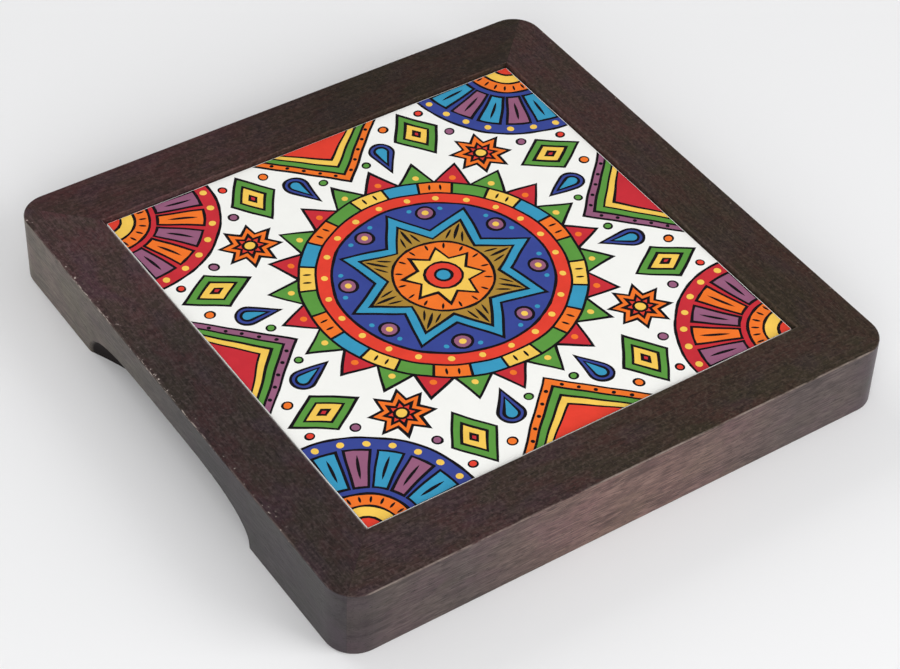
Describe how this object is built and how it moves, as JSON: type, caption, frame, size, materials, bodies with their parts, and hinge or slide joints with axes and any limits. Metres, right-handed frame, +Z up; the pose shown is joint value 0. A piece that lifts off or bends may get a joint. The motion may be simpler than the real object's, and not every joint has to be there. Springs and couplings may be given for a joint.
{
  "type": "trivet",
  "caption": "Square trivet: a glazed ceramic tile set just below the top of a dark mitred hardwood frame, with a finger scoop in the outer underside of each side rail.",
  "frame": {"origin": "middle of the underside, on the surface that the trivet stands on", "axes": "+X along the front rail to the right, +Y from the front rail to the back rail, +Z up; the scooped rails are at -X and +X"},
  "size_m": [0.192, 0.192, 0.024],
  "materials": {
    "stained_wood": "satin",
    "key_wood": "matte",
    "plywood": "matte",
    "adhesive": "matte",
    "glazed_tile": "gloss"
  },
  "bodies": {
    "root": {"front_rail": "stained_wood", "right_rail": "stained_wood", "back_rail": "stained_wood", "left_rail": "stained_wood", "front_left_key": "key_wood", "front_right_key": "key_wood", "back_right_key": "key_wood", "back_left_key": "key_wood", "base_panel": "plywood", "tile_adhesive": "adhesive", "tile": "glazed_tile"}
  },
  "joints": []
}
